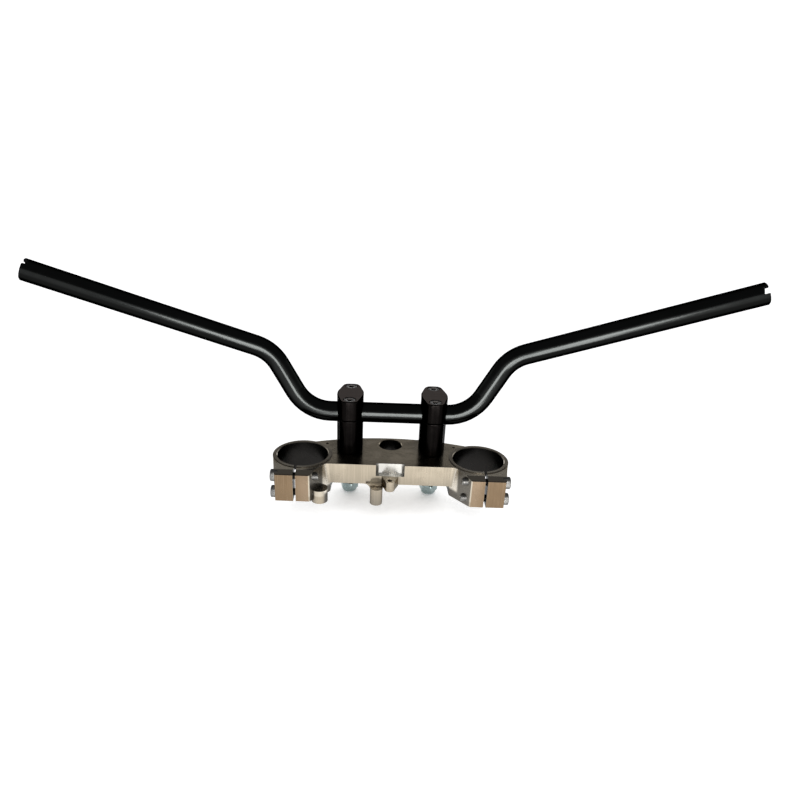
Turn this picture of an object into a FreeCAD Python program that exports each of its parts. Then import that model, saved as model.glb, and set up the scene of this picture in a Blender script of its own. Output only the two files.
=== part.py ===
import math
import os

import FreeCAD
import Part

V = FreeCAD.Vector
X_AXIS, Y_AXIS, Z_AXIS = V(1, 0, 0), V(0, 1, 0), V(0, 0, 1)
os.makedirs("parts", exist_ok=True)

# Frame: the steering stem's axis is +Z through the origin, Z = 0 is the underside of the
# yoke plate, +X runs along the bar and -Y is the side on which the fork legs stand.

# Handlebar
BAR_DIA = 22.2            # seven eighths of an inch
BAR_WALL = 4.0
BEND_RADIUS = 45.0        # of the tube's centre line, all four bends
BEND1_X = 89.7            # corner of the centre line beside the riser
BEND2_X = 128.5           # corner between upright and arm, from the bar's middle
BEND2_Y = 9.8
BEND2_Z = 64.4
TIP_X = 358.5             # middle of the tube's end, from the bar's middle
TIP_Y = -29.7
TIP_Z = 151.9
BAR_SHIFT = -3.5          # bar's middle beside the yoke's, as it is clamped
END_SLOT_W = 6.5
END_SLOT_DEPTH = 5.0
SLOT_LEAN_LEFT = 66.0     # degrees by which each slot's direction rises from -Y
SLOT_LEAN_RIGHT = 38.0
END_CHAMFER = 1.0

# Top yoke
PLATE_T = 23.0
STEM_DIA = 25.0
STEM_CHAMFER = 0.8
FORK_SPACING = 191.0
FORK_OFFSET = 28.5        # stem axis to the line of the fork legs
FORK_DIA = 55.0
RING_WALL = 5.0
COLLAR_W = 4.0
COLLAR_H = 0.8
CLAMP_H = 33.8            # height of the fork clamps, from the plate's top down
FRONT_SET = 7.0           # plate's front face behind the fork bore's front
BACK_BULGE = 16.5         # plate's back edge behind the stem axis, in the middle
BACK_CORNER_IN = 9.5      # end of the plate's back edge, inboard of the fork axis
BACK_CORNER_WALL = 3.0    # and behind the fork bore
BLOCK_WALL = 16.0         # pinch block's front face ahead of the fork bore
BLOCK_TUCK = 2.9          # block's outer corner, inside the bore's outer side
BLOCK_IN = 11.3           # block's inner corner, inboard of the fork axis
BLOCK_CORNER_R = 3.0
BLOCK_EDGE_R = 0.8
WALL_FOOT = 3.9           # slanted inner wall inboard of the bore, at the front face's line
WALL_LEAN = 4.9           # and its lean, from the clamp's bottom to the plate's top
ROOT_R = 6.0
BEVEL_WALL = 8.5          # the block's top bevel starts this far ahead of the fork bore
BEVEL_DROP = 3.0
SLIT_W = 2.7
SLIT_OUT = 4.4            # slit outboard of the fork axis
RECESS_W = 30.6           # milled recess in the middle of the front face
RECESS_D = 4.0
RECESS_H = 13.2
RECESS_R = 3.9
TAB_REACH = 9.0           # hole of the tab under the recess, ahead of the front face
TAB_R = 5.3
TAB_ROOT_W = 18.0
TAB_H = 11.0
TAB_HOLE = 5.0
LEG_X = -14.2             # round leg under the front face
LEG_DIA = 13.4
LEG_REACH = 7.5
LEG_H = 18.5
WEB_H = 12.0
WEB_LEN = 22.0
WEB_FILLET = 7.5
COVE_H = 4.5
COVE_D = 2.5
COVE_W = 23.0
LUG_TUCK = 6.3            # round lug on the left clamp, inside the bore's inner side
LUG_WALL = 6.5            # and ahead of the fork bore
LUG_DIA = 17.4
LUG_TOP = 22.0            # below the plate's top
LUG_DROP = 3.1            # below the clamp's bottom
TAPPED_X = 71.0           # small tapped holes in the plate's top
TAPPED_Y = -1.5
TAPPED_DIA = 3.3
TAPPED_DEPTH = 10.0
BORE_CHAMFER = 0.8        # fork bores, at the collar's top

# Risers and clamp caps
RISER_SPACING = 91.4
RISER_W = 28.8
RISER_D = 55.0
RISER_FLAT = 12.0         # straight middle of a riser's side
RISER_NOSE = 17.0         # width across the nose, before its corners are rounded
SIDE_R = 30.0
NOSE_R = 7.5
PAD_R = 5.0               # between the plate's back edge and the pad behind a riser
AXIS_H = 39.5             # bar axis above the yoke's top
CAP_H = 22.5              # cap's top above the bar axis
CLAMP_GAP = 1.2           # between riser and cap
FOOT_CHAMFER = 0.8
CAP_EDGE = 1.0

# Fasteners
SCREW_DIA = 8.0           # cap screws and pinch bolts
HEAD_DIA = 13.0
HEAD_H = 8.0
SOCKET_AF = 6.0
SOCKET_DEPTH = 4.0
HEAD_EDGE = 0.6
SCREW_SPACING = 38.6      # between a cap's two screws
SCREW_BITE = 21.0         # thread below the clamp gap's middle
HOLE_SPARE = 2.0          # drilled beyond a screw's tip
SCREW_FREE = 0.3          # radial, where a screw passes freely
HEAD_FREE = 0.4           # radial, round a sunk head
HEAD_SINK = 0.3           # cap screw's head below the cap's top
PINCH_WALL = 8.5          # pinch bolts ahead of the fork bore
PINCH_UPPER = 7.3         # below the plate's top
PINCH_LOWER = 7.1         # above the clamp's bottom
PINCH_TUCK = 5.7          # head's seat inside the bore's outer side
PINCH_LEN = 42.5
STUD_DIA = 12.0
STUD_BITE = 18.0          # stud inside the riser
STUD_END = 1.0            # stud below its nut
STUD_FREE = 0.3
SLEEVE_DIA = 18.0
SLEEVE_LEN = 23.5
NUT_AF = 18.0
NUT_H = 12.0
NUT_ROUND = 1.8           # height of the nut's rounded lower end

BAR_R = BAR_DIA / 2
FORK_R = FORK_DIA / 2
RING_R = FORK_R + RING_WALL
TOP = PLATE_T
CLAMP_BOTTOM = TOP - CLAMP_H
BAR_Z = TOP + AXIS_H
CAP_TOP = BAR_Z + CAP_H
FORK_Y = -FORK_OFFSET
FRONT_FACE = FORK_R - FRONT_SET
BACK_CORNER_Y = FORK_Y + FORK_R + BACK_CORNER_WALL
BLOCK_FACE = FORK_R + BLOCK_WALL
BLOCK_OUT = FORK_R - BLOCK_TUCK
WALL_FOOT_IN = FORK_R + WALL_FOOT
WALL_TOP_IN = WALL_FOOT_IN - WALL_LEAN
BEVEL_FROM = FORK_R + BEVEL_WALL
LUG_IN = FORK_R - LUG_TUCK
LUG_AHEAD = FORK_R + LUG_WALL
PINCH_AHEAD = FORK_R + PINCH_WALL
PINCH_SEAT = FORK_R - PINCH_TUCK
BEND2 = V(BEND2_X, BEND2_Y, BEND2_Z)
BAR_TIP = V(TIP_X, TIP_Y, TIP_Z)
PINCH_PITCH = CLAMP_H - PINCH_UPPER - PINCH_LOWER
SIDES = (("left", -1), ("right", 1))


def cyl(radius, start, axis, length):
    return Part.makeCylinder(radius, length, start, axis)


def box(x0, x1, y0, y1, z0, z1):
    return Part.makeBox(x1 - x0, y1 - y0, z1 - z0, V(x0, y0, z0))


def rounded_wire(corners):
    """Closed wire through (point, radius) corners, each corner rounded by its radius."""
    n = len(corners)
    runs = []
    for i, (p, r) in enumerate(corners):
        a = (corners[i - 1][0] - p).normalize()
        b = (corners[(i + 1) % n][0] - p).normalize()
        if r <= 0:
            runs.append((p, None, p))
            continue
        half = a.getAngle(b) / 2
        cut = r / math.tan(half)
        mid = (a + b).normalize()
        far = p + mid * (r / math.sin(half) - r)
        runs.append((p + a * cut, far, p + b * cut))
    edges = []
    for i, (start, far, end) in enumerate(runs):
        if far is not None:
            edges.append(Part.Arc(start, far, end).toShape())
        nxt = runs[(i + 1) % n][0]
        if (nxt - end).Length > 1e-6:
            edges.append(Part.LineSegment(end, nxt).toShape())
    return Part.Wire(edges)


def prism(corners, z0, z1):
    face = Part.Face(rounded_wire([(V(p.x, p.y, z0), r) for p, r in corners]))
    solid = face.extrude(V(0, 0, z1 - z0))
    return solid


def hexagon(across_flats, start, axis, length):
    r = across_flats / math.sqrt(3)
    pts = [V(r * math.cos(math.radians(60 * k)), r * math.sin(math.radians(60 * k)), 0)
           for k in range(6)]
    solid = Part.Face(Part.makePolygon(pts + pts[:1])).extrude(V(0, 0, length))
    solid.Placement = FreeCAD.Placement(start, FreeCAD.Rotation(Z_AXIS, axis))
    return solid


def mirrored(shape):
    return shape.mirror(V(0, 0, 0), X_AXIS)


def socket_screw(seat, axis, length):
    """Socket head screw: seat of its head, axis from the seat out of the head, shank length."""
    head = cyl(HEAD_DIA / 2, seat, axis, HEAD_H)
    rim = [e for e in head.Edges if e.Curve.TypeId == "Part::GeomCircle"
           and (e.Curve.Center - (seat + axis * HEAD_H)).Length < 1e-6]
    head = head.makeChamfer(HEAD_EDGE, rim)
    shank = cyl(SCREW_DIA / 2, seat - axis * length, axis, length)
    tip = [e for e in shank.Edges if e.Curve.TypeId == "Part::GeomCircle"
           and (e.Curve.Center - (seat - axis * length)).Length < 1e-6]
    shank = shank.makeChamfer(HEAD_EDGE, tip)
    socket = hexagon(SOCKET_AF, seat + axis * (HEAD_H - SOCKET_DEPTH), axis, SOCKET_DEPTH + 1)
    return head.fuse(shank).removeSplitter().cut(socket)


def bar_path():
    """Centre line of the bar from the left tip to the right one, as a wire."""
    right = [V(BEND1_X, 0, 0), BEND2, BAR_TIP]
    pts = [V(-p.x, p.y, p.z) for p in reversed(right)] + right
    pts = [p + V(0, 0, BAR_Z) for p in pts]
    edges, last = [], pts[0]
    for a, p, b in zip(pts, pts[1:], pts[2:]):
        u, w = (a - p).normalize(), (b - p).normalize()
        half = u.getAngle(w) / 2
        cut = BEND_RADIUS / math.tan(half)
        far = p + (u + w).normalize() * (BEND_RADIUS / math.sin(half) - BEND_RADIUS)
        edges.append(Part.LineSegment(last, p + u * cut).toShape())
        edges.append(Part.Arc(p + u * cut, far, p + w * cut).toShape())
        last = p + w * cut
    edges.append(Part.LineSegment(last, pts[-1]).toShape())
    return Part.Wire(edges), pts[0], (pts[1] - pts[0]).normalize()


def end_slot(tip, inward, lean):
    """Cutter for the slot across the tube's left end."""
    lean = math.radians(lean)
    across = V(0, -math.cos(lean), math.sin(lean))
    across = (across - inward * across.dot(inward)).normalize()
    side = inward.cross(across)
    slot = Part.makeBox(END_SLOT_W, BAR_DIA + 2, END_SLOT_DEPTH + 1)
    m = FreeCAD.Matrix(side.x, across.x, inward.x, 0, side.y, across.y, inward.y, 0,
                       side.z, across.z, inward.z, 0, 0, 0, 0, 1)
    slot = slot.transformGeometry(m)
    slot.translate(tip - side * (END_SLOT_W / 2) - across * (BAR_R + 1) - inward)
    return slot


def handlebar():
    path, tip, inward = bar_path()
    tubes = []
    for r in (BAR_R, BAR_R - BAR_WALL):
        ring = Part.Wire(Part.makeCircle(r, tip, inward))
        tubes.append(path.makePipeShell([ring], True, True))
    bar = tubes[0].cut(tubes[1])
    rims = [e for e in bar.Edges if e.Curve.TypeId == "Part::GeomCircle"
            and abs(e.Curve.Radius - BAR_R) < 1e-3
            and min((e.Curve.Center - V(s * tip.x, tip.y, tip.z)).Length for s in (-1, 1)) < 0.01]
    bar = bar.makeChamfer(END_CHAMFER, rims)
    bar = bar.cut(end_slot(tip, inward, SLOT_LEAN_LEFT))
    bar = bar.cut(mirrored(end_slot(tip, inward, SLOT_LEAN_RIGHT)))
    return bar.translated(V(BAR_SHIFT, 0, 0))


def oval(cx, z0, z1):
    """Long rounded block of a riser: straight sides that taper to a blunt nose at each end."""
    w, d, f, n = RISER_W / 2, RISER_D / 2, RISER_FLAT / 2, RISER_NOSE / 2
    plan = [(n, -d, NOSE_R), (w, -f, SIDE_R), (w, f, SIDE_R), (n, d, NOSE_R)]
    plan += [(-x, -y, r) for x, y, r in plan]
    return prism([(V(cx + x, y, 0), r) for x, y, r in plan], z0, z1)


def level_edges(shape, z):
    return [e for e in shape.Edges
            if abs(e.BoundBox.ZMin - z) < 1e-6 and abs(e.BoundBox.ZMax - z) < 1e-6]


def riser(cx):
    body = oval(cx, TOP, BAR_Z - CLAMP_GAP / 2)
    body = body.makeChamfer(FOOT_CHAMFER, level_edges(body, TOP))
    body = body.cut(cyl(BAR_R, V(cx - RISER_W, 0, BAR_Z), X_AXIS, 2 * RISER_W))
    body = body.cut(cyl(STUD_DIA / 2, V(cx, 0, TOP - 1), Z_AXIS, STUD_BITE + 1))
    for s in (-1, 1):
        start = V(cx, s * SCREW_SPACING / 2, BAR_Z - SCREW_BITE - HOLE_SPARE)
        body = body.cut(cyl(SCREW_DIA / 2, start, Z_AXIS, SCREW_BITE + HOLE_SPARE + 1))
    return body


def cap(cx):
    body = oval(cx, BAR_Z + CLAMP_GAP / 2, CAP_TOP)
    body = body.makeChamfer(CAP_EDGE, level_edges(body, CAP_TOP))
    body = body.cut(cyl(BAR_R, V(cx - RISER_W, 0, BAR_Z), X_AXIS, 2 * RISER_W))
    for s in (-1, 1):
        foot = V(cx, s * SCREW_SPACING / 2, BAR_Z)
        body = body.cut(cyl(SCREW_DIA / 2 + SCREW_FREE, foot, Z_AXIS, CAP_H + 1))
        seat = V(foot.x, foot.y, CAP_TOP - HEAD_SINK - HEAD_H)
        body = body.cut(cyl(HEAD_DIA / 2 + HEAD_FREE, seat, Z_AXIS, CAP_H))
    return body


def clamp(s):
    """Split fork clamp of one side: ring, pinch block and drafted inner wall, uncut."""
    cx = s * FORK_SPACING / 2
    at = lambda x, y, z: V(cx + s * x, FORK_Y + y, z)
    plan = [(V(BLOCK_OUT, -BLOCK_FACE, 0), BLOCK_EDGE_R),
            (V(RING_R - 0.3, 0, 0), 0),
            (V(0.3 - RING_R, 0, 0), 0),
            (V(-WALL_FOOT_IN, -FRONT_FACE, 0), ROOT_R),
            (V(-BLOCK_IN, -BLOCK_FACE, 0), BLOCK_CORNER_R)]
    body = prism([(at(p.x, p.y, 0), r) for p, r in plan], CLAMP_BOTTOM, TOP)
    wires = []
    for z, root in ((CLAMP_BOTTOM, WALL_FOOT_IN), (TOP, WALL_TOP_IN)):
        run = V(root - BLOCK_IN, FRONT_FACE - BLOCK_FACE, 0)
        a, b = V(-root, -FRONT_FACE, 0) - run * 0.5, V(-BLOCK_IN, -BLOCK_FACE, 0) + run * 0.5
        aside = V(run.y, -run.x, 0)
        quad = [at(p.x, p.y, z) for p in (a, b, b + aside, a + aside)]
        wires.append(Part.makePolygon(quad + quad[:1]))
    body = body.cut(Part.makeLoft(wires, True, True))
    return body.fuse(cyl(RING_R, V(cx, FORK_Y, CLAMP_BOTTOM), Z_AXIS, CLAMP_H))


def plate():
    """Plate between the clamps, with a pad behind each riser."""
    y_front = FORK_Y - FRONT_FACE
    x_end = FORK_SPACING / 2 - WALL_TOP_IN + 2
    right = V(FORK_SPACING / 2 - BACK_CORNER_IN, BACK_CORNER_Y, 0)
    left = V(-right.x, right.y, 0)
    edges = [Part.Arc(left, V(0, BACK_BULGE, 0), right).toShape()]
    back = edges[0].Curve
    pts = [right, V(x_end, y_front, 0), V(-x_end, y_front, 0), left]
    edges += [Part.LineSegment(a, b).toShape() for a, b in zip(pts, pts[1:])]
    body = Part.Face(Part.Wire(edges)).extrude(V(0, 0, TOP))
    for _, s in SIDES:
        body = body.fuse(oval(s * RISER_SPACING / 2, 0, TOP))
    body = body.removeSplitter()
    creases = []
    for e in body.Edges:
        b = e.BoundBox
        off = math.hypot(b.XMin - back.Center.x, b.YMin - back.Center.y) - back.Radius
        if b.ZLength > TOP / 2 and b.XLength < 1e-3 and abs(off) < 1e-3 and abs(b.XMin) < right.x - 1:
            creases.append(e)
    return body.makeFillet(PAD_R, creases)


def root_edges(body):
    """The two edges where the plate's front face meets the drafted walls."""
    y_front = FORK_Y - FRONT_FACE
    found = []
    for e in body.Edges:
        b = e.BoundBox
        lo, hi = sorted((abs(b.XMin), abs(b.XMax)))
        if (abs(b.YMin - y_front) < 1e-4 and abs(b.YMax - y_front) < 1e-4
                and b.ZLength > PLATE_T / 2 and hi - lo < WALL_FOOT_IN - WALL_TOP_IN
                and lo > FORK_SPACING / 2 - WALL_FOOT_IN - 1):
            found.append(e)
    return found


def tab():
    """Drilled tab that stands out under the recess."""
    y_front = FORK_Y - FRONT_FACE
    z1 = TOP - RECESS_H
    hub = V(0, y_front - TAB_REACH, z1 - TAB_H)
    body = cyl(TAB_R, hub, Z_AXIS, TAB_H)
    w = TAB_ROOT_W / 2
    pts = [V(-w, y_front + RECESS_D + 1, 0), V(-w, y_front, 0), V(-TAB_R, hub.y, 0),
           V(TAB_R, hub.y, 0), V(w, y_front, 0), V(w, y_front + RECESS_D + 1, 0)]
    return body.fuse(prism([(p, 0) for p in pts], hub.z, z1))


def leg():
    """Round leg under the front face with its web along the plate's underside."""
    r = LEG_DIA / 2
    y_front = FORK_Y - FRONT_FACE
    y_leg = y_front - LEG_REACH
    body = cyl(r, V(LEG_X, y_leg, -LEG_H), Z_AXIS, LEG_H)
    y_back = y_front + WEB_LEN
    body = body.fuse(box(LEG_X - r, LEG_X + r, y_leg, y_back, -WEB_H, 0))
    foot = box(LEG_X - r - WEB_FILLET, LEG_X + r + WEB_FILLET, y_front, y_back, -WEB_FILLET, 0)
    for s in (-1, 1):
        start = V(LEG_X + s * (r + WEB_FILLET), y_front - 1, -WEB_FILLET)
        foot = foot.cut(cyl(WEB_FILLET, start, Y_AXIS, WEB_LEN + 2))
    return body.fuse(foot)


def top_yoke():
    y_front = FORK_Y - FRONT_FACE
    body = plate()
    for _, s in SIDES:
        body = body.fuse(clamp(s))
    body = body.removeSplitter()
    body = body.makeFillet(ROOT_R, root_edges(body))
    lug = V(LUG_IN - FORK_SPACING / 2, FORK_Y - LUG_AHEAD, CLAMP_BOTTOM - LUG_DROP)
    body = body.fuse(cyl(LUG_DIA / 2, lug, Z_AXIS, CLAMP_H + LUG_DROP - LUG_TOP))
    # recess and cove in the front face
    w = RECESS_W / 2
    notch = [(V(-w, y_front - 10, 0), 0), (V(w, y_front - 10, 0), 0),
             (V(w, y_front + RECESS_D, 0), RECESS_R), (V(-w, y_front + RECESS_D, 0), RECESS_R)]
    body = body.cut(prism(notch, TOP - RECESS_H, TOP + 1))
    body = body.cut(box(LEG_X - COVE_W / 2, LEG_X + COVE_W / 2, y_front - 1, y_front + COVE_D,
                        -1, COVE_H))
    body = body.fuse(tab()).fuse(leg())
    for _, s in SIDES:
        cx = s * FORK_SPACING / 2
        foot = V(cx, FORK_Y, TOP)
        body = body.fuse(cyl(FORK_R + COLLAR_W, foot, Z_AXIS, COLLAR_H))
        # bevel on the block's top
        y0, y1 = FORK_Y - BEVEL_FROM, FORK_Y - BLOCK_FACE - 1
        drop = BEVEL_DROP * (y0 - y1) / (BLOCK_FACE - BEVEL_FROM)
        side = cx - 2 * RING_R
        wedge = Part.Face(Part.makePolygon([V(side, y0, TOP), V(side, y1, TOP - drop),
                                            V(side, y1, TOP + 5), V(side, y0, TOP + 5),
                                            V(side, y0, TOP)])).extrude(V(4 * RING_R, 0, 0))
        body = body.cut(wedge)
        body = body.cut(cyl(FORK_R, V(cx, FORK_Y, CLAMP_BOTTOM - 5), Z_AXIS, CLAMP_H + 10))
        body = body.cut(Part.makeCone(FORK_R, FORK_R + BORE_CHAMFER + 1, BORE_CHAMFER + 1,
                                      V(cx, FORK_Y, TOP + COLLAR_H - BORE_CHAMFER)))
        x_slit = cx + s * SLIT_OUT
        body = body.cut(box(x_slit - SLIT_W / 2, x_slit + SLIT_W / 2, FORK_Y - BLOCK_FACE - 1,
                            FORK_Y - FORK_R / 2, CLAMP_BOTTOM - 5, TOP + 5))
        for k in range(2):
            seat = V(cx + s * PINCH_SEAT, FORK_Y - PINCH_AHEAD, TOP - PINCH_UPPER - k * PINCH_PITCH)
            out = V(s, 0, 0)
            body = body.cut(cyl(HEAD_DIA / 2 + HEAD_FREE, seat, out, HEAD_H))
            near = seat - out * (PINCH_SEAT - SLIT_OUT)
            body = body.cut(cyl(SCREW_DIA / 2 + SCREW_FREE, near, out, PINCH_SEAT - SLIT_OUT + 1))
            deep = seat - out * (PINCH_LEN + HOLE_SPARE)
            body = body.cut(cyl(SCREW_DIA / 2, deep, out, (near - deep).Length))
        riser_x = s * RISER_SPACING / 2
        body = body.cut(cyl(STUD_DIA / 2 + STUD_FREE, V(riser_x, 0, -1), Z_AXIS, TOP + 2))
        body = body.cut(cyl(TAPPED_DIA / 2, V(s * TAPPED_X, TAPPED_Y, TOP - TAPPED_DEPTH), Z_AXIS,
                            TAPPED_DEPTH + 1))
    body = body.cut(cyl(STEM_DIA / 2, V(0, 0, -1), Z_AXIS, TOP + 2))
    body = body.cut(Part.makeCone(STEM_DIA / 2, STEM_DIA / 2 + STEM_CHAMFER + 1, STEM_CHAMFER + 1,
                                  V(0, 0, TOP - STEM_CHAMFER)))
    tab_y = y_front - TAB_REACH
    tab_foot = V(0, tab_y, TOP - RECESS_H - TAB_H - 1)
    body = body.cut(cyl(TAB_HOLE / 2, tab_foot, Z_AXIS, TAB_H + 2))
    return body.removeSplitter()


def stud(cx):
    z0 = -SLEEVE_LEN - NUT_H - STUD_END
    body = cyl(STUD_DIA / 2, V(cx, 0, z0), Z_AXIS, TOP + STUD_BITE - z0)
    return body.makeChamfer(HEAD_EDGE, level_edges(body, z0) + level_edges(body, TOP + STUD_BITE))


def sleeve(cx):
    foot = V(cx, 0, -SLEEVE_LEN)
    return cyl(SLEEVE_DIA / 2, foot, Z_AXIS, SLEEVE_LEN).cut(
        cyl(STUD_DIA / 2 + STUD_FREE, foot, Z_AXIS, SLEEVE_LEN))


def nut(cx):
    z1 = -SLEEVE_LEN
    body = hexagon(NUT_AF, V(cx, 0, z1 - NUT_H), Z_AXIS, NUT_H)
    tall = NUT_AF / math.sqrt(3) + 0.01
    dome = Part.makeCone(NUT_AF / 2 - NUT_ROUND / 2, tall, NUT_ROUND, V(cx, 0, z1 - NUT_H))
    dome = dome.fuse(cyl(tall, V(cx, 0, z1 - NUT_H + NUT_ROUND), Z_AXIS, NUT_H - NUT_ROUND))
    body = body.common(dome)
    return body.cut(cyl(STUD_DIA / 2, V(cx, 0, z1 - NUT_H), Z_AXIS, NUT_H))


def save(name, shape):
    if shape.ShapeType != "Solid":
        solids = shape.Solids
        assert len(solids) == 1, (name, len(solids))
        shape = solids[0]
    assert shape.isValid(), name
    shape.exportStep("parts/%s.step" % name)


save("handlebar", handlebar())
save("top_yoke", top_yoke())
for side, s in SIDES:
    rx = s * RISER_SPACING / 2
    save("riser_" + side, riser(rx))
    save("clamp_cap_" + side, cap(rx))
    save("riser_stud_" + side, stud(rx))
    save("riser_sleeve_" + side, sleeve(rx))
    save("riser_nut_" + side, nut(rx))
    for end, sy in (("front", -1), ("rear", 1)):
        seat = V(rx, sy * SCREW_SPACING / 2, CAP_TOP - HEAD_SINK - HEAD_H)
        save("cap_screw_%s_%s" % (side, end),
             socket_screw(seat, Z_AXIS, CAP_H - HEAD_SINK - HEAD_H + SCREW_BITE))
    for k, level in enumerate(("upper", "lower")):
        seat = V(s * (FORK_SPACING / 2 + PINCH_SEAT), FORK_Y - PINCH_AHEAD,
                 TOP - PINCH_UPPER - k * PINCH_PITCH)
        save("pinch_bolt_%s_%s" % (side, level), socket_screw(seat, V(s, 0, 0), PINCH_LEN))
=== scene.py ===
import math

import bpy
import numpy as np
from mathutils import Matrix, Vector


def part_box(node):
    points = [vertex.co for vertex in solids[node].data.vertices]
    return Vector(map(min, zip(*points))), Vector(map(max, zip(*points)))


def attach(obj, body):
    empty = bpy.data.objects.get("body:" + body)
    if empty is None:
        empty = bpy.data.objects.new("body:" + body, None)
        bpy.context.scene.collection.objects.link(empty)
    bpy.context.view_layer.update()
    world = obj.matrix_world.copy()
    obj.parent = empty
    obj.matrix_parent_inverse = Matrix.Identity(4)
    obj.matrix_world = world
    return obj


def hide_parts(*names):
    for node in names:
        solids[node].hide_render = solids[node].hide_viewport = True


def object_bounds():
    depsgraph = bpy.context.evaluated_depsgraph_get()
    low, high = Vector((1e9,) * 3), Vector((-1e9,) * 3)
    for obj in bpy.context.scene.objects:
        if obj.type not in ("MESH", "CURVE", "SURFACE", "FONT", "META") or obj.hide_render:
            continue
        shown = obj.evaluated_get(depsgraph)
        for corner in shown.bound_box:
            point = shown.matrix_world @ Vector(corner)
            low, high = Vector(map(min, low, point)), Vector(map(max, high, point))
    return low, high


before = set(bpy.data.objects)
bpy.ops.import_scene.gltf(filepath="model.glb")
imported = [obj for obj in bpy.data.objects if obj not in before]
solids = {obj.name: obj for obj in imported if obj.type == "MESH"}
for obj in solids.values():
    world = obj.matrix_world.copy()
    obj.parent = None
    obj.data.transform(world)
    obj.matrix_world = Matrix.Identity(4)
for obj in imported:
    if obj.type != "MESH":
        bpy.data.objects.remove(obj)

cad_lo, cad_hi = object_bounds()
scene = bpy.context.scene
scene.view_settings.view_transform = "Standard"

# Places on the part, in metres, as the solids have them
PLATE_TOP = 0.023
FORK_X, FORK_Y = 0.0955, -0.0285
FORK_BORE_R = 0.0275
COLLAR_R = 0.0315
STEM_BORE_R = 0.0125
BLOCK_FACE_Y = -0.072
BLOCK_INNER_X = 0.085
FRONT_Y = -0.049
FRONT_END_X = 0.0647
SLIT_X, SLIT_HALF = 0.0999, 0.00135
RECESS_HALF, RECESS_BOTTOM = 0.0155, 0.0093
LEG_X = -0.0142
LUG_INNER_X = -0.068
CAP_LEVEL = 0.08          # only the caps' tops lie above it
SCREW_HEAD = 0.008        # height of every screw's head
FLOOR_Z = cad_lo.z - 0.0002

# The photograph's pinhole, in pixels of its square picture
PICTURE = 800.0
FOCAL = 657.49
MIDDLE_X, MIDDLE_Y = 378.58, 432.68
SENSOR = 36.0

# Floor: flat to its first radius, then rising to its rim
FLAT_R, RIM_R, RISE = 4.0, 10.0, 0.13


# Camera, floor and light

def photo_camera():
    """Pinhole looking down 25.7 degrees; its axes follow from yaw, pitch and roll, in that order."""
    yaw, pitch, roll = -0.00353, 0.44926, 0.0321
    ahead = Vector((math.sin(yaw) * math.cos(pitch), math.cos(yaw) * math.cos(pitch), -math.sin(pitch)))
    right = Vector((math.cos(yaw), -math.sin(yaw), 0))
    up = right.cross(ahead)
    x = math.cos(roll) * right + math.sin(roll) * up
    y = math.cos(roll) * up - math.sin(roll) * right
    turn = Matrix((x, y, -ahead)).transposed().to_4x4()
    turn.translation = (-0.011536, -0.662501, 0.357187)
    lens = bpy.data.cameras.new("photo_camera")
    lens.sensor_width = SENSOR
    lens.lens = FOCAL * SENSOR / PICTURE
    lens.shift_x = (PICTURE / 2 - MIDDLE_X) / PICTURE
    lens.shift_y = (MIDDLE_Y - PICTURE / 2) / PICTURE
    lens.clip_start = 0.02
    cam = bpy.data.objects.new("photo_camera", lens)
    cam.matrix_world = turn
    scene.collection.objects.link(cam)
    scene.camera = cam


def grid_piece(name, points, closed_u=False, closed_v=False, ends=False):
    """Mesh from an array of points[u, v]; each cell of the grid is one quad, a closed direction joins
    its last row to its first, and ends adds a flat face at the first and last row. The sign of the
    enclosed volume says whether the quads have to be turned outwards."""
    nu, nv = points.shape[:2]
    u = np.arange(nu if closed_u else nu - 1)
    v = np.arange(nv if closed_v else nv - 1)
    a, b = np.meshgrid(u, v, indexing="ij")
    a2, b2 = (a + 1) % nu, (b + 1) % nv
    quads = np.stack([a * nv + b, a2 * nv + b, a2 * nv + b2, a * nv + b2], -1).reshape(-1, 4)
    flat = points.reshape(-1, 3)
    p, q, r, s = (flat[quads[:, k]] - flat.mean(0) for k in range(4))
    inside = (np.cross(p, q) * r).sum() + (np.cross(p, r) * s).sum() < 0
    quads = quads[:, ::-1] if inside else quads
    faces = quads.tolist()
    if ends:
        first, last = list(range(nv)), list(range((nu - 1) * nv, nu * nv))
        faces += [first, last[::-1]] if inside else [first[::-1], last]
    mesh = bpy.data.meshes.new(name)
    mesh.from_pydata(flat.tolist(), [], faces)
    mesh.polygons.foreach_set("use_smooth", np.ones(len(faces), bool))
    mesh.update()
    piece = bpy.data.objects.new(name, mesh)
    scene.collection.objects.link(piece)
    return piece


def studio_floor():
    """Round floor: level out to FLAT_R, then height = RISE (r - FLAT_R) squared, out to RIM_R."""
    r = np.concatenate([[0.001], np.linspace(0.2, FLAT_R, 12), np.linspace(FLAT_R + 0.2, RIM_R, 36)])
    t = np.linspace(0, 2 * np.pi, 96, endpoint=False)
    rr, tt = np.meshgrid(r, t, indexing="ij")
    z = FLOOR_Z + RISE * np.maximum(rr - FLAT_R, 0) ** 2
    floor = grid_piece("studio_floor", np.stack([rr * np.cos(tt), rr * np.sin(tt), z], -1), closed_v=True)
    floor.data.materials.append(pale_floor())


def put(tree, kind, settings=None, **feeds):
    """One node of a tree; each feed is a value or another node's output, by the input's name
    or by its number after a leading i."""
    node = tree.nodes.new("ShaderNode" + kind)
    for key, value in (settings or {}).items():
        setattr(node, key, value)
    for key, value in feeds.items():
        socket = node.inputs[int(key[1:])] if key[1:].isdigit() else node.inputs[key.replace("_", " ")]
        if isinstance(value, bpy.types.NodeSocket):
            tree.links.new(value, socket)
        else:
            socket.default_value = value
    return node


def math_node(t, operation, a, b=0.5):
    return put(t, "Math", {"operation": operation}, i0=a, i1=b).outputs[0]


def times(t, first, *others):
    """Product of several values."""
    for value in others:
        first = math_node(t, "MULTIPLY", first, value)
    return first


def apart(t, value, middle):
    """How far a value lies from a middle, on either side."""
    return math_node(t, "ABSOLUTE", math_node(t, "SUBTRACT", value, middle))


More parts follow.
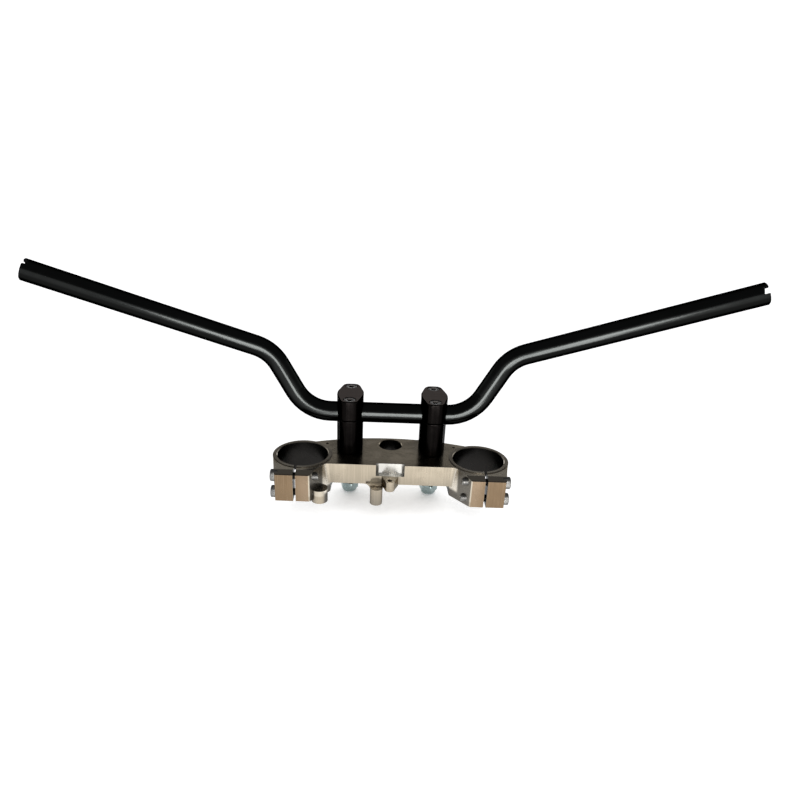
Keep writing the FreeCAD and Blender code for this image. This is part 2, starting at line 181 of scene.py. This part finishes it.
def length(t, a, b):
    """Length of the level vector (a, b)."""
    level = put(t, "CombineXYZ", i0=a, i1=b).outputs[0]
    return put(t, "VectorMath", {"operation": "LENGTH"}, i0=level).outputs["Value"]


def place_of(t):
    """X, Y and Z on the part."""
    return put(t, "SeparateXYZ", i0=put(t, "TexCoord").outputs["Object"]).outputs


def normal_of(t):
    """X, Y and Z of the direction in which the surface looks."""
    return put(t, "SeparateXYZ", i0=put(t, "NewGeometry").outputs["Normal"]).outputs


def ramp(t, value, low, high, out_low=0.0, out_high=1.0):
    """Smooth step from out_low at low to out_high at high."""
    return put(t, "MapRange", {"interpolation_type": "SMOOTHSTEP"},
               i0=value, i1=low, i2=high, i3=out_low, i4=out_high).outputs[0]


def blend(t, amount, a, b):
    """Colour a where amount is 0 and b where it is 1."""
    return put(t, "Mix", {"data_type": "RGBA"}, i0=amount, i6=a, i7=b).outputs[2]


def pale_floor():
    """White floor that keeps the soft shadow: part of its white is a glow, with a painted shadow where the
    object shelters it, part is lit. Its rim greys off."""
    m = bpy.data.materials.new("pale_floor")
    m.use_nodes = True
    t = m.node_tree
    t.nodes.clear()
    place = put(t, "TexCoord").outputs["Object"]
    far = put(t, "VectorMath", {"operation": "LENGTH"}, i0=place).outputs["Value"]
    white = put(t, "MapRange", i0=far, i1=0.5, i2=1.5, i3=0.96, i4=1.0).outputs[0]
    rim = ramp(t, put(t, "SeparateXYZ", i0=place).outputs[2], 3.4, 3.95, 1.0, 0.09)
    sky = put(t, "AmbientOcclusion", {"samples": 4}, Distance=0.12).outputs["AO"]
    # painted shadow: the floor's glow fades by ambient occlusion where the object shelters it
    own = times(t, white, rim, ramp(t, sky, 0.1, 0.42))
    lit = put(t, "BsdfDiffuse", Color=(0.8, 0.8, 0.8, 1)).outputs[0]
    glow = put(t, "Emission", Strength=own).outputs[0]
    both = put(t, "AddShader", i0=lit, i1=glow).outputs[0]
    path = put(t, "LightPath").outputs
    seen = math_node(t, "MAXIMUM", path["Is Camera Ray"], path["Is Glossy Ray"])
    seen = math_node(t, "MAXIMUM", seen, path["Is Transmission Ray"])
    mix = put(t, "MixShader", i0=seen, i1=lit, i2=both).outputs[0]
    put(t, "OutputMaterial", Surface=mix)
    return m


def soft_light(name, place, aim, width, height, power):
    """Rectangular lamp that the camera doesn't see."""
    lamp = bpy.data.lights.new(name, "AREA")
    lamp.shape = "RECTANGLE"
    lamp.size, lamp.size_y, lamp.energy = width, height, power
    ob = bpy.data.objects.new(name, lamp)
    ob.location = place
    ob.rotation_euler = (Vector(aim) - Vector(place)).to_track_quat("-Z", "Y").to_euler()
    ob.visible_camera = False
    scene.collection.objects.link(ob)


def studio():
    """Floor, a small softbox and a low panel in front, two wide lights behind, and a dim room."""
    studio_floor()
    soft_light("front_softbox", (0.07, -1.0, 0.155), (0.07, 0, 0.155), 0.36, 0.31, 7.4)
    soft_light("low_front_panel", (0.07, -0.65, FLOOR_Z + 0.004), (0.07, -0.649, 0.5), 0.36, 0.62, 12.5)
    soft_light("rear_softbox", (0.0, 2.4, 0.24), (0, 0, 0.2), 2.0, 0.4, 18)
    soft_light("rear_panel", (0.0, 3.0, 1.75), (0, 0, 0.05), 7.0, 2.0, 3.4)
    room = bpy.data.worlds.new("dim_room")
    room.use_nodes = True
    room.node_tree.nodes["Background"].inputs["Color"].default_value = (0.155, 0.157, 0.162, 1)
    scene.world = room


# Shared effects

def effect(name, inputs, outputs):
    """Empty node group; inputs are (name, default), outputs are (name, Float or Vector)."""
    g = bpy.data.node_groups.new(name, "ShaderNodeTree")
    for label, value in inputs:
        g.interface.new_socket(label, in_out="INPUT", socket_type="NodeSocketFloat").default_value = value
    for label, kind in outputs:
        g.interface.new_socket(label, in_out="OUTPUT", socket_type="NodeSocket" + kind)
    return g, g.nodes.new("NodeGroupInput").outputs, g.nodes.new("NodeGroupOutput").inputs


def edge_rub():
    """Worn line along outer edges: where the rounded normal leaves the true one and the corner
    stands open, broken into patches."""
    g, i, o = effect("edge_rub", [("Radius", 0.0006), ("Patch", 90.0), ("Least", 0.12)],
                     [("Mask", "Float"), ("Normal", "Vector")])
    soft = put(g, "Bevel", {"samples": 12}, Radius=i["Radius"]).outputs[0]
    true = put(g, "NewGeometry").outputs["Normal"]
    dot = put(g, "VectorMath", {"operation": "DOT_PRODUCT"}, i0=soft, i1=true).outputs["Value"]
    corner = ramp(g, dot, 0.995, 0.86)
    air = ramp(g, put(g, "AmbientOcclusion", {"samples": 8}, Distance=0.004).outputs["AO"], 0.6, 0.85)
    place = put(g, "TexCoord").outputs["Object"]
    noise = put(g, "TexNoise", Vector=place, Scale=i["Patch"], Detail=4.0).outputs[0]
    patch = ramp(g, noise, 0.38, 0.66, i["Least"], 1.0)
    g.links.new(times(g, corner, air, patch), o["Mask"])
    g.links.new(soft, o["Normal"])
    return g


def tool_lines():
    """Cutter lines: noise drawn out along the tool's way, upright on walls and along X on level faces."""
    g, i, o = effect("tool_lines", [("Fine", 1500.0)], [("Height", "Float")])
    along = 14.0
    x, y, z = place_of(g)
    fine_x, fine_y, fine_z = (times(g, value, i["Fine"]) for value in (x, y, z))
    wall = put(g, "CombineXYZ", i0=fine_x, i1=fine_y, i2=times(g, z, along)).outputs[0]
    flat = put(g, "CombineXYZ", i0=times(g, x, along), i1=fine_y, i2=fine_z).outputs[0]
    level = ramp(g, math_node(g, "ABSOLUTE", normal_of(g)[2]), 0.7, 0.8)
    a = put(g, "TexNoise", Vector=wall, Scale=1.0, Detail=3.0).outputs[0]
    b = put(g, "TexNoise", Vector=flat, Scale=1.0, Detail=3.0).outputs[0]
    g.links.new(put(g, "Mix", i0=level, i2=a, i3=b).outputs[0], o["Height"])
    return g


def hand_marks():
    """Broad, cloudy smears and fine specks, as handling leaves on metal."""
    g, i, o = effect("hand_marks", [("Size", 28.0)], [("Cloud", "Float"), ("Speck", "Float")])
    place = put(g, "TexCoord").outputs["Object"]
    cloud = put(g, "TexNoise", Vector=place, Scale=i["Size"], Detail=5.0, Roughness=0.6,
                Distortion=0.8).outputs[0]
    speck = put(g, "TexNoise", Vector=place, Scale=1900.0, Detail=2.0).outputs[0]
    g.links.new(ramp(g, cloud, 0.3, 0.72), o["Cloud"])
    g.links.new(ramp(g, speck, 0.35, 0.75), o["Speck"])
    return g


def shelter():
    """How far a place lies in the shelter of its neighbours: 0 in the open, 1 deep in a corner."""
    g, i, o = effect("shelter", [("Reach", 0.03)], [("Depth", "Float")])
    open_air = put(g, "AmbientOcclusion", {"samples": 8}, Distance=i["Reach"]).outputs["AO"]
    g.links.new(ramp(g, open_air, 0.95, 0.35), o["Depth"])
    return g


EDGE, LINES, MARKS, SHELTER = edge_rub(), tool_lines(), hand_marks(), shelter()


def group(t, tree, **values):
    """A shared effect placed in a material, with its own values."""
    node = put(t, "Group", {"node_tree": tree})
    for key, value in values.items():
        node.inputs[key].default_value = value
    return node.outputs


def metal(name, **constants):
    """Material with one Principled shader; its constants are set on the shader's own sockets."""
    m = bpy.data.materials.new(name)
    m.use_nodes = True
    t = m.node_tree
    t.nodes.clear()
    bsdf = put(t, "BsdfPrincipled", **constants)
    put(t, "OutputMaterial", Surface=bsdf.outputs[0])
    return m, t, bsdf.inputs


def wire(t, inputs, **feeds):
    for key, value in feeds.items():
        t.links.new(value, inputs[key.replace("_", " ")])


def tint(t, body, colour, *masks):
    """Body, with the colour laid over it where all masks hold."""
    return blend(t, times(t, *masks), body, colour)


def grain(t, inputs, strength, distance, height, **normal):
    """Fine relief from a height, on the rounded normal where one is given."""
    bump = put(t, "Bump", Strength=strength, Distance=distance, Height=height, **normal)
    wire(t, inputs, Normal=bump.outputs[0])


# Materials

def bar_black():
    """Black anodised tube: deep satin black, with painted shade making its underside darker, faint smears,
    bare metal where the end edges are rubbed."""
    m, t, s = metal("bar_black", Metallic=1.0, Specular_Tint=(0.12, 0.12, 0.12, 1))
    rub, marks = group(t, EDGE, Radius=0.0006, Patch=160.0), group(t, MARKS, Size=22.0)
    body = blend(t, marks["Cloud"], (0.0165, 0.0174, 0.017, 1), (0.021, 0.0222, 0.0215, 1))
    # painted shade: darker where the surface faces downwards
    body = tint(t, body, (0.0085, 0.0088, 0.0086, 1), ramp(t, normal_of(t)[2], 0.04, -0.2))
    wire(t, s, Base_Color=tint(t, body, (0.24, 0.24, 0.24, 1), rub["Mask"], 0.5),
         Roughness=ramp(t, marks["Cloud"], 0.0, 1.0, 0.17, 0.22))
    grain(t, s, 0.02, 0.0002, marks["Speck"], Normal=rub["Normal"])
    return m


def riser_black():
    """Black anodised blocks: polished walls with upright cutter lines, and matt cap tops whose lighter brown
    is a painted sheen.
    """
    m, t, s = metal("riser_black", Specular_IOR_Level=0.0, Specular_Tint=(0.1, 0.1, 0.1, 1))
    rub, marks = group(t, EDGE, Radius=0.0009, Patch=140.0), group(t, MARKS, Size=40.0)
    lines = group(t, LINES, Fine=1300.0)["Height"]
    top = times(t, ramp(t, normal_of(t)[2], 0.75, 0.95), ramp(t, place_of(t)[2], CAP_LEVEL, CAP_LEVEL + 0.003))
    wall = blend(t, ramp(t, lines, 0.35, 0.65), (0.0028, 0.0024, 0.0023, 1), (0.0055, 0.0047, 0.0044, 1))
    # painted sheen: the cap tops' lighter brown stands in for their reflection; the cutter lines are their own
    level = blend(t, lines, (0.14, 0.118, 0.108, 1), (0.205, 0.174, 0.158, 1))
    body = blend(t, top, wall, level)
    wire(t, s, Base_Color=tint(t, body, (0.1, 0.09, 0.085, 1), rub["Mask"], 0.3),
         Roughness=ramp(t, marks["Cloud"], 0.0, 1.0, 0.16, 0.26), Metallic=math_node(t, "SUBTRACT", 1.0, top))
    grain(t, s, 0.06, 0.0002, lines, Normal=rub["Normal"])
    return m


def yoke_titanium():
    """Champagne anodised alloy: upright cutter lines on the walls, edges rubbed pale. Painted shade: browner
    pinch block faces, darker below and in sheltered places, block bevels, inner walls, slits and nearly black
    bores.
    Painted highlights on the front face's ends, the inner walls next to it and the lug and web tops; the
    recess a pale grey painted reflection."""
    m, t, s = metal("yoke_titanium", Metallic=1.0, Specular_Tint=(0.5, 0.5, 0.5, 1))
    rub = group(t, EDGE, Radius=0.0005, Patch=120.0, Least=0.7)
    lines = group(t, LINES, Fine=1500.0)["Height"]
    marks = group(t, MARKS, Size=30.0)
    depth = group(t, SHELTER, Reach=0.03)["Depth"]
    x, y, z = place_of(t)
    normal = normal_of(t)
    up = normal[2]
    wide = math_node(t, "ABSOLUTE", x)
    from_leg = apart(t, x, LEG_X)
    from_fork = length(t, math_node(t, "SUBTRACT", wide, FORK_X), math_node(t, "SUBTRACT", y, FORK_Y))
    from_stem = length(t, x, y)

    body = blend(t, ramp(t, lines, 0.3, 0.7), (0.37, 0.32, 0.244, 1), (0.445, 0.384, 0.294, 1))
    body = tint(t, body, (0.36, 0.315, 0.252, 1), marks["Cloud"], 0.3)

    # Painted highlight: pale strips at the front face's ends
    body = tint(t, body, (0.6, 0.545, 0.45, 1), ramp(t, wide, FRONT_END_X - 0.0005, FRONT_END_X + 0.0005),
                ramp(t, y, FRONT_Y + 0.0012, FRONT_Y - 0.004), ramp(t, z, -0.006, -0.004), 0.7)

    # Painted shade: the pinch blocks' faces browner and darker, less so inboard of the slit; their cutter
    # lines are their own
    inboard = ramp(t, wide, SLIT_X + 0.003, SLIT_X - 0.012)
    face = blend(t, inboard, (0.21, 0.145, 0.086, 1), (0.272, 0.2, 0.134, 1))
    face = tint(t, face, (0.37, 0.28, 0.195, 1), ramp(t, lines, 0.4, 0.75), 0.35)
    body = tint(t, body, face, ramp(t, y, BLOCK_FACE_Y + 0.002, BLOCK_FACE_Y + 0.0005),
                ramp(t, wide, BLOCK_INNER_X - 0.0004, BLOCK_INNER_X + 0.0004))

    # Painted shade: darker towards the bottom and in sheltered places, less so near the leg
    body = tint(t, body, (0.13, 0.122, 0.112, 1), ramp(t, z, 0.014, -0.03),
                ramp(t, y, BLOCK_FACE_Y + 0.001, BLOCK_FACE_Y + 0.003), 0.75)
    body = tint(t, body, (0.1, 0.095, 0.09, 1), depth, ramp(t, from_leg, 0.013, 0.02, 0.15, 0.6))

    # Painted reflection: the recess in the front face pale grey
    body = tint(t, body, (0.62, 0.61, 0.575, 1), ramp(t, wide, RECESS_HALF + 0.0001, RECESS_HALF - 0.0001),
                ramp(t, apart(t, y, FRONT_Y + 0.0022), 0.0021, 0.002),
                ramp(t, z, RECESS_BOTTOM - 0.0003, RECESS_BOTTOM + 0.0003), 0.9)

    # Painted shade on the inner walls of the clamps, and a painted highlight on the part next to the front
    # face
    inward = times(t, normal[0], math_node(t, "SIGN", x))
    wall = times(t, ramp(t, inward, -0.5, -0.8), ramp(t, wide, 0.06, 0.064))
    body = tint(t, body, (0.085, 0.083, 0.08, 1), wall, 0.8)
    body = tint(t, body, (0.88, 0.82, 0.72, 1), wall, ramp(t, wide, 0.0728, 0.0705),
                ramp(t, z, -0.004, 0.0), 0.9)

    # Painted highlights on the tops of the lug and of the leg's web
    body = tint(t, body, (0.85, 0.74, 0.62, 1), ramp(t, x, LUG_INNER_X, LUG_INNER_X - 0.0005),
                ramp(t, up, 0.8, 0.9), ramp(t, z, -0.002, -0.005), 0.85)
    body = tint(t, body, (0.86, 0.82, 0.74, 1), ramp(t, from_leg, 0.0115, 0.0105), ramp(t, up, 0.1, 0.25),
                ramp(t, z, 0.0005, 0.0), 0.85)

    # Painted shade on the bevels over the blocks; the collars round the fork bores a darker grey
    body = tint(t, body, (0.1, 0.083, 0.068, 1), ramp(t, up, 0.8, 0.86), ramp(t, up, 0.985, 0.965), 0.6)
    body = tint(t, body, (0.16, 0.15, 0.14, 1), ramp(t, from_fork, COLLAR_R + 0.0003, COLLAR_R + 0.0001),
                ramp(t, z, PLATE_TOP - 0.0002, PLATE_TOP), 0.45)

    # Painted shade in the slits and bores: their walls nearly black
    body = tint(t, body, (0.03, 0.027, 0.024, 1), ramp(t, y, FORK_Y - 0.01, FORK_Y - 0.012),
                ramp(t, apart(t, wide, SLIT_X), SLIT_HALF + 0.0001, SLIT_HALF))
    bore = math_node(t, "MAXIMUM", ramp(t, from_fork, FORK_BORE_R + 0.0002, FORK_BORE_R + 0.0001),
                     ramp(t, from_stem, STEM_BORE_R + 0.0002, STEM_BORE_R + 0.0001))
    body = tint(t, body, (0.022, 0.021, 0.02, 1), bore)

    smoother = ramp(t, up, 0.9, 0.99, 0.0, 0.08)
    rough = math_node(t, "SUBTRACT", ramp(t, marks["Cloud"], 0.0, 1.0, 0.2, 0.3), smoother)
    wire(t, s, Base_Color=tint(t, body, (0.66, 0.62, 0.55, 1), rub["Mask"], 0.35), Roughness=rough)
    grain(t, s, 0.02, 0.0002, lines)
    return m


def screw_black():
    """Black oxide steel: slightly brown, oily, pale at the chamfers as a painted highlight, and pale at the
    rubbed edges.
    """
    m, t, s = metal("screw_black", Metallic=0.0, Specular_IOR_Level=0.15)
    rub, marks = group(t, EDGE, Radius=0.0003, Patch=260.0), group(t, MARKS, Size=120.0)
    body = blend(t, marks["Cloud"], (0.012, 0.011, 0.0105, 1), (0.03, 0.026, 0.023, 1))
    up = normal_of(t)[2]
    # painted highlight: pale on faces sloping upwards, such as the chamfers
    body = tint(t, body, (0.3, 0.275, 0.255, 1), ramp(t, up, 0.2, 0.35), ramp(t, up, 0.985, 0.96))
    wire(t, s, Base_Color=tint(t, body, (0.4, 0.37, 0.35, 1), rub["Mask"], 0.6),
         Roughness=ramp(t, marks["Cloud"], 0.0, 1.0, 0.28, 0.42))
    grain(t, s, 0.08, 0.0001, marks["Speck"], Normal=rub["Normal"])
    return m


def bolt_bright():
    """Stainless steel with fine specks and grey marks, and painted shade where it crosses the slit."""
    m, t, s = metal("bolt_bright", Metallic=1.0)
    rub, marks = group(t, EDGE, Radius=0.0003, Patch=260.0), group(t, MARKS, Size=150.0)
    body = blend(t, marks["Cloud"], (0.24, 0.235, 0.222, 1), (0.15, 0.147, 0.14, 1))
    across = apart(t, math_node(t, "ABSOLUTE", place_of(t)[0]), SLIT_X)
    # painted shade: nearly black where the bolt crosses the slit
    body = tint(t, body, (0.02, 0.019, 0.018, 1), ramp(t, across, 0.003, 0.002))
    wire(t, s, Base_Color=tint(t, body, (0.4, 0.395, 0.38, 1), rub["Mask"]),
         Roughness=ramp(t, marks["Cloud"], 0.0, 1.0, 0.32, 0.46))
    grain(t, s, 0.08, 0.0001, marks["Speck"], Normal=rub["Normal"])
    return m


def zinc_steel():
    """Blue zinc plating: cool, cloudy, with pale worn edges."""
    m, t, s = metal("zinc_steel", Metallic=1.0)
    rub, marks = group(t, EDGE, Radius=0.0005, Patch=200.0), group(t, MARKS, Size=90.0)
    body = blend(t, marks["Cloud"], (0.225, 0.28, 0.28, 1), (0.34, 0.41, 0.41, 1))
    wire(t, s, Base_Color=tint(t, body, (0.5, 0.55, 0.55, 1), rub["Mask"]),
         Roughness=ramp(t, marks["Cloud"], 0.0, 1.0, 0.26, 0.42))
    grain(t, s, 0.1, 0.0001, marks["Speck"], Normal=rub["Normal"])
    return m


FINISH = {"bar_black": bar_black(), "riser_black": riser_black(), "yoke_titanium": yoke_titanium(),
          "screw_black": screw_black(), "bolt_bright": bolt_bright(), "zinc_steel": zinc_steel()}


# Fasteners, as surfaces over a profile and the angle round it

ANGLES = np.linspace(0, 2 * np.pi, 144, endpoint=False)
ROUND = np.ones_like(ANGLES)


def turned(name, slot, stands_for, start, axis, radius, height):
    """Closed piece round an axis: ring k lies at radius[k, angle] and height[k, angle] from the start
    point; the first and last ring are closed by small flat ends, or by each other where the
    profile is a loop."""
    axis = Vector(axis).normalized()
    side = axis.orthogonal().normalized()
    a, u, v = np.array(axis), np.array(side), np.array(axis.cross(side))
    points = (np.array(start) + height[..., None] * a
              + (radius * np.cos(ANGLES))[..., None] * u + (radius * np.sin(ANGLES))[..., None] * v)
    loop = radius[0].min() > 0.001
    piece = grid_piece(name, points, closed_u=loop, closed_v=True, ends=not loop)
    piece.data.materials.append(FINISH[slot])
    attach(piece, "root")
    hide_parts(stands_for)


def hexagon(across):
    """Radius of a hexagon of this width across its flats: half the width over the cosine of the
    angle from the middle of the nearest flat."""
    sixth = np.pi / 3
    return across / 2 / np.cos(np.mod(ANGLES, sixth) - sixth / 2)


def rings(rows):
    """Radius and height arrays from rows of (radius, height); a single radius goes all the way round."""
    return np.array([r * ROUND for r, z in rows]), np.array([z * ROUND for r, z in rows])


def thread(top, bottom, radius, pitch, depth, steps=6):
    """Rows of a screw thread: a triangle wave of (height / pitch - angle / turn), cut into the radius."""
    z = np.linspace(top, bottom, max(2, int(abs(top - bottom) / pitch * steps)))[:, None]
    wave = np.abs(np.mod(z / pitch - ANGLES / (2 * np.pi), 1.0) * 2 - 1)
    return radius - depth * wave, np.broadcast_to(z, (len(z), len(ANGLES)))


def socket_screw(name, slot, stands_for, seat, axis, length_below, plain=0.012):
    """Socket head screw: hexagon socket, chamfered and knurled head (36 ridges, radius less a raised
    cosine), plain neck, thread, tip. Heights count from the seat under the head."""
    hexa, head, top, shank = hexagon(0.006), 0.0065, SCREW_HEAD, 0.004
    knurl = head - 0.00016 * (1 - np.cos(36 * ANGLES))
    corner = hexa.max()
    bottom = top - 0.004
    tip = -length_below
    above = rings([
        # socket, from its middle outwards and up
        (0.00005, bottom - 0.0008), (hexa * 0.6, bottom - 0.0004), (hexa * 0.97, bottom),
        (hexa, bottom + 0.0002), (hexa, top - 0.0006), (hexa + 0.00005, top - 0.0005),
        (corner + 0.0002, top - 0.00004), (corner + 0.0004, top),
        # head's top, chamfer and knurled side
        (head - 0.0011, top), (head - 0.0009, top - 0.00003), (head - 0.00045, top - 0.0003),
        (knurl * 0.3 + (head - 0.0002) * 0.7, top - 0.0006), (knurl, top - 0.0009), (knurl, 0.0042),
        (knurl, 0.0008),
        # under the head, and the plain neck
        (head - 0.0003, 0.0005), (head - 0.0005, 0.00002), (shank + 0.0006, 0.0),
        (shank + 0.00018, -0.00018), (shank, -0.0006), (shank, -plain)])
    cut = thread(-plain - 0.0002, tip + 0.0008, shank, 0.00125, 0.0005)
    end = rings([(shank - 0.0006, tip + 0.0003), (shank - 0.0012, tip), (0.00005, tip)])
    turned(name, slot, stands_for, seat, axis, *(np.concatenate(part) for part in zip(above, cut, end)))


def lock_nut(name, stands_for, seat):
    """Hexagon lock nut hanging from its seat: washer face, chamfered hexagon, domed collar, threaded bore.
    Corners are the smaller of the hexagon and a chamfer cone. Heights count downwards from the seat."""
    hexa, low = hexagon(0.018), 0.012

    def cone(r):
        return np.minimum(hexa, r)

    outside = rings([
        # bore's mouth, washer face and chamfered hexagon
        (0.0061, 0.0006), (0.0066, 0.0), (0.0084, 0.0), (0.0086, 0.0003), (cone(0.0089), 0.0004),
        (cone(0.0097), 0.0008), (hexa, 0.0013), (hexa, 0.004), (hexa, 0.0072), (cone(0.0101), 0.0078),
        (cone(0.0096), 0.0081), (cone(0.009), 0.0084),
        # collar, and round its lower rim into the bore
        (0.0087, 0.0086), (0.0085, 0.0089), (0.0084, 0.0104), (0.0082, 0.0111), (0.0078, 0.0116),
        (0.0073, 0.0119), (0.0069, low), (0.0066, low - 0.0001), (0.0064, 0.0114)])
    cut = thread(0.0112, 0.0008, 0.0065, 0.00175, 0.00045)
    turned(name, "zinc_steel", stands_for, seat, (0, 0, -1),
           *(np.concatenate(part) for part in zip(outside, cut)))


def fasteners():
    """Each stands where its solid does: the box of the solid gives the seat."""
    for side, out in (("left", -1), ("right", 1)):
        for end in ("front", "rear"):
            solid = "cap_screw_%s_%s" % (side, end)
            lo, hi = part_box(solid)
            seat = ((lo.x + hi.x) / 2, (lo.y + hi.y) / 2, hi.z - SCREW_HEAD)
            socket_screw(solid + "_dressed", "screw_black", solid, seat, (0, 0, 1), seat[2] - lo.z)
        for row in ("upper", "lower"):
            solid = "pinch_bolt_%s_%s" % (side, row)
            lo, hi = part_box(solid)
            far = hi.x if out > 0 else lo.x
            seat = (far - out * SCREW_HEAD, (lo.y + hi.y) / 2, (lo.z + hi.z) / 2)
            socket_screw(solid + "_dressed", "bolt_bright", solid, seat, (out, 0, 0), hi.x - lo.x - SCREW_HEAD)
        solid = "riser_nut_" + side
        lo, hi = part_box(solid)
        lock_nut(solid + "_dressed", solid, ((lo.x + hi.x) / 2, (lo.y + hi.y) / 2, hi.z))


# Finish of each solid, by the first words of its name
FINISH_OF = (("handlebar", "bar_black"), ("riser_stud", "zinc_steel"), ("riser_sleeve", "zinc_steel"),
             ("riser_nut", "zinc_steel"), ("riser", "riser_black"), ("clamp_cap", "riser_black"),
             ("cap_screw", "screw_black"), ("top_yoke", "yoke_titanium"), ("pinch_bolt", "bolt_bright"))

photo_camera()
studio()
fasteners()
for name, solid in solids.items():
    slot = next(slot for start, slot in FINISH_OF if name.startswith(start))
    for holder in solid.material_slots:
        holder.material = FINISH[slot]
